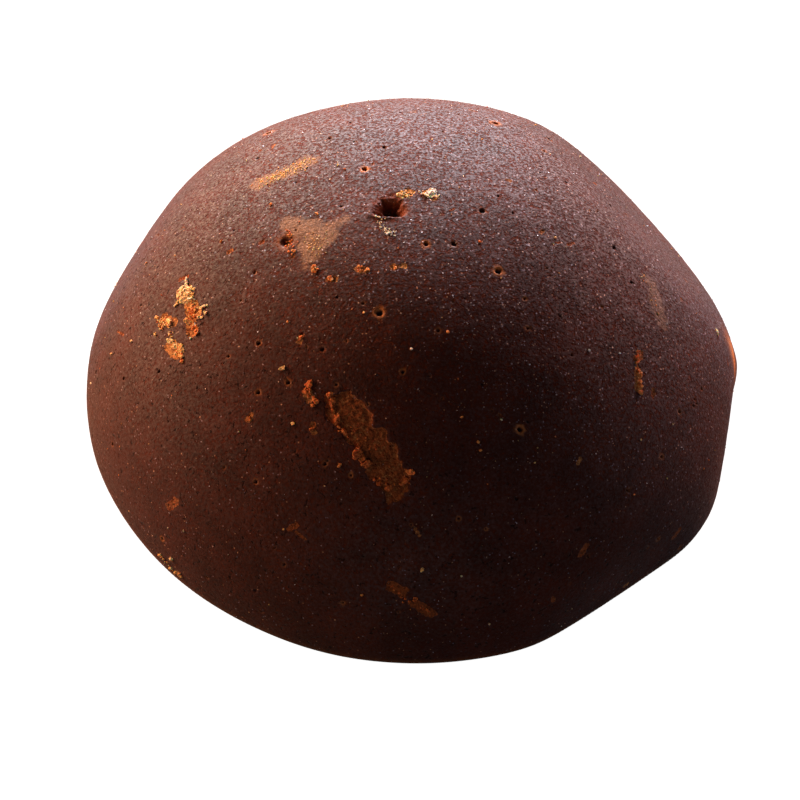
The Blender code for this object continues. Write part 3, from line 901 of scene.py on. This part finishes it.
def golden_finish():
    f = Finish("golden_sugar")
    tone = f.sum(f.fact("tone"), f.times(f.sum(f.noise(0.25), -0.5), 0.5))
    colour = f.blend(f.span(tone, -0.5, 0.0), (0.22, 0.048, 0.014, 1), (0.66, 0.145, 0.035, 1))
    colour = f.blend(f.span(tone, 0.0, 0.35), colour, (0.92, 0.31, 0.085, 1))
    colour = f.blend(f.span(tone, 0.35, 0.7), colour, (0.98, 0.54, 0.21, 1))
    colour = f.blend(f.span(tone, 0.7, 1.0), colour, (0.98, 0.76, 0.44, 1))
    colour = f.blend(f.span(tone, 1.0, 1.3), colour, (0.97, 0.91, 0.83, 1))
    grit = f.noise(0.10)
    colour = f.blend(1.0, colour, f.span(grit, 0.3, 0.7, 0.75, 1.15), "MULTIPLY")
    return f.shader(
        f.times(grit, 0.06), base_color=colour, roughness=f.span(grit, 0.3, 0.7, 0.45, 0.8), ior=1.5,
        specular_ior_level=0.15, subsurface_weight=0.3, subsurface_radius=(1.0, 0.45, 0.2), subsurface_scale=0.0004,
    )


golden_sugar = golden_finish()
bit_tree = sugar_bit_tree()
for piece_name, bits, fineness, lump_size, lumpiness in (
    ("golden_flakes", flakes, 4, 0.30, 0.62), ("golden_crumbs", crumbs, 1, 0.28, 0.25),
):
    piece = grown(
        piece_name, bits.as_mesh(piece_name), bit_tree,
        {"Fineness": fineness, "Lump size": lump_size * TO_METRES, "Lumpiness": lumpiness * TO_METRES,
         "Material": golden_sugar},
        golden_sugar,
    )
    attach(piece, "root")

# ---------------------------------------------------------------------------------------------
# The table, a sheet of plain white paper that the lump stands on.
# ---------------------------------------------------------------------------------------------

floor_mesh = bpy.data.meshes.new("paper_table")
floor_mesh.from_pydata([(-3, -3, 0), (3, -3, 0), (3, 3, 0), (-3, 3, 0)], [], [(0, 1, 2, 3)])
floor = bpy.data.objects.new("paper_table", floor_mesh)
bpy.context.scene.collection.objects.link(floor)
floor_mesh.materials.append(
    Finish("white_paper").shader(
        base_color=(0.35, 0.35, 0.35, 1), roughness=1.0, specular_ior_level=0.0,
        emission_color=(1, 1, 1, 1), emission_strength=1.0,
    )
)
floor.visible_diffuse = False
floor.visible_glossy = False

# ---------------------------------------------------------------------------------------------
# Light: a row of low, soft panels behind the lump and to its left, as from a long window.
# ---------------------------------------------------------------------------------------------

world = bpy.data.worlds.new("white_room")
world.use_nodes = True
world.node_tree.nodes["Background"].inputs["Color"].default_value = (1, 1, 1, 1)
world.node_tree.nodes["Background"].inputs["Strength"].default_value = 1.0
for ray in ("diffuse", "glossy", "transmission", "scatter"):
    setattr(world.cycles_visibility, ray, False)
bpy.context.scene.world = world

PANEL_DISTANCE = 1.0


def soft_panel(name, azimuth, height, width, tall, power, colour):
    """A panel that faces the lump from this azimuth and height, in degrees; its sides are in metres."""
    lamp = bpy.data.lights.new(name, "AREA")
    lamp.shape = "RECTANGLE"
    lamp.size, lamp.size_y = width, tall
    lamp.energy = power
    lamp.color = colour
    panel = bpy.data.objects.new(name, lamp)
    towards = Vector(direction(azimuth, height))
    panel.location = towards * PANEL_DISTANCE
    panel.rotation_mode = "QUATERNION"
    panel.rotation_quaternion = towards.to_track_quat("Z", "Y")
    panel.visible_camera = False
    bpy.context.scene.collection.objects.link(panel)
    return panel


DAYLIGHT = (0.75, 0.85, 1.0)
ROSY = (1.0, 0.5, 0.4)
GOLDEN = (1.0, 0.7, 0.4)
AMBER = (1.0, 0.5, 0.3)
WHITE = (1.0, 1.0, 1.0)
soft_panel("room_right", 0, 10, 0.5, 0.35, 0.5, DAYLIGHT)
soft_panel("wall_right", 30, 10, 0.5, 0.35, 1.5, DAYLIGHT)
soft_panel("window_right", 60, 10, 0.5, 0.35, 11, ROSY)
soft_panel("window_middle", 90, 10, 0.5, 0.35, 20, DAYLIGHT)
soft_panel("room_above", 270, 40, 0.5, 0.50, 0.3, DAYLIGHT)
soft_panel("window_left", 120, 10, 0.5, 0.35, 13, GOLDEN)
soft_panel("warm_wall_back", 150, 10, 0.5, 0.35, 15, AMBER)
soft_panel("warm_wall_left", 180, 10, 0.5, 0.35, 4, GOLDEN)
soft_panel("room_front", 270, 10, 0.5, 0.35, 1, WHITE)

# ---------------------------------------------------------------------------------------------
# The camera looks steeply down on the front of the lump through a long lens.
# ---------------------------------------------------------------------------------------------

CAMERA_HEIGHT = 52
CAMERA_ROLL = 3
CAMERA_DISTANCE = 0.3855
CAMERA_AIM = Vector((-0.0017, -0.0087, 0.0097))

camera_data = bpy.data.cameras.new("camera")
camera_data.lens = 135
camera_data.sensor_width = 36
camera = bpy.data.objects.new("camera", camera_data)
backwards = Vector(direction(-90, CAMERA_HEIGHT))
camera.location = CAMERA_AIM + backwards * CAMERA_DISTANCE
camera.rotation_mode = "QUATERNION"
roll = Matrix.Rotation(math.radians(CAMERA_ROLL), 3, "Z").to_quaternion()
camera.rotation_quaternion = backwards.to_track_quat("Z", "Y") @ roll
bpy.context.scene.collection.objects.link(camera)
bpy.context.scene.camera = camera
bpy.context.scene.view_settings.view_transform = "Standard"
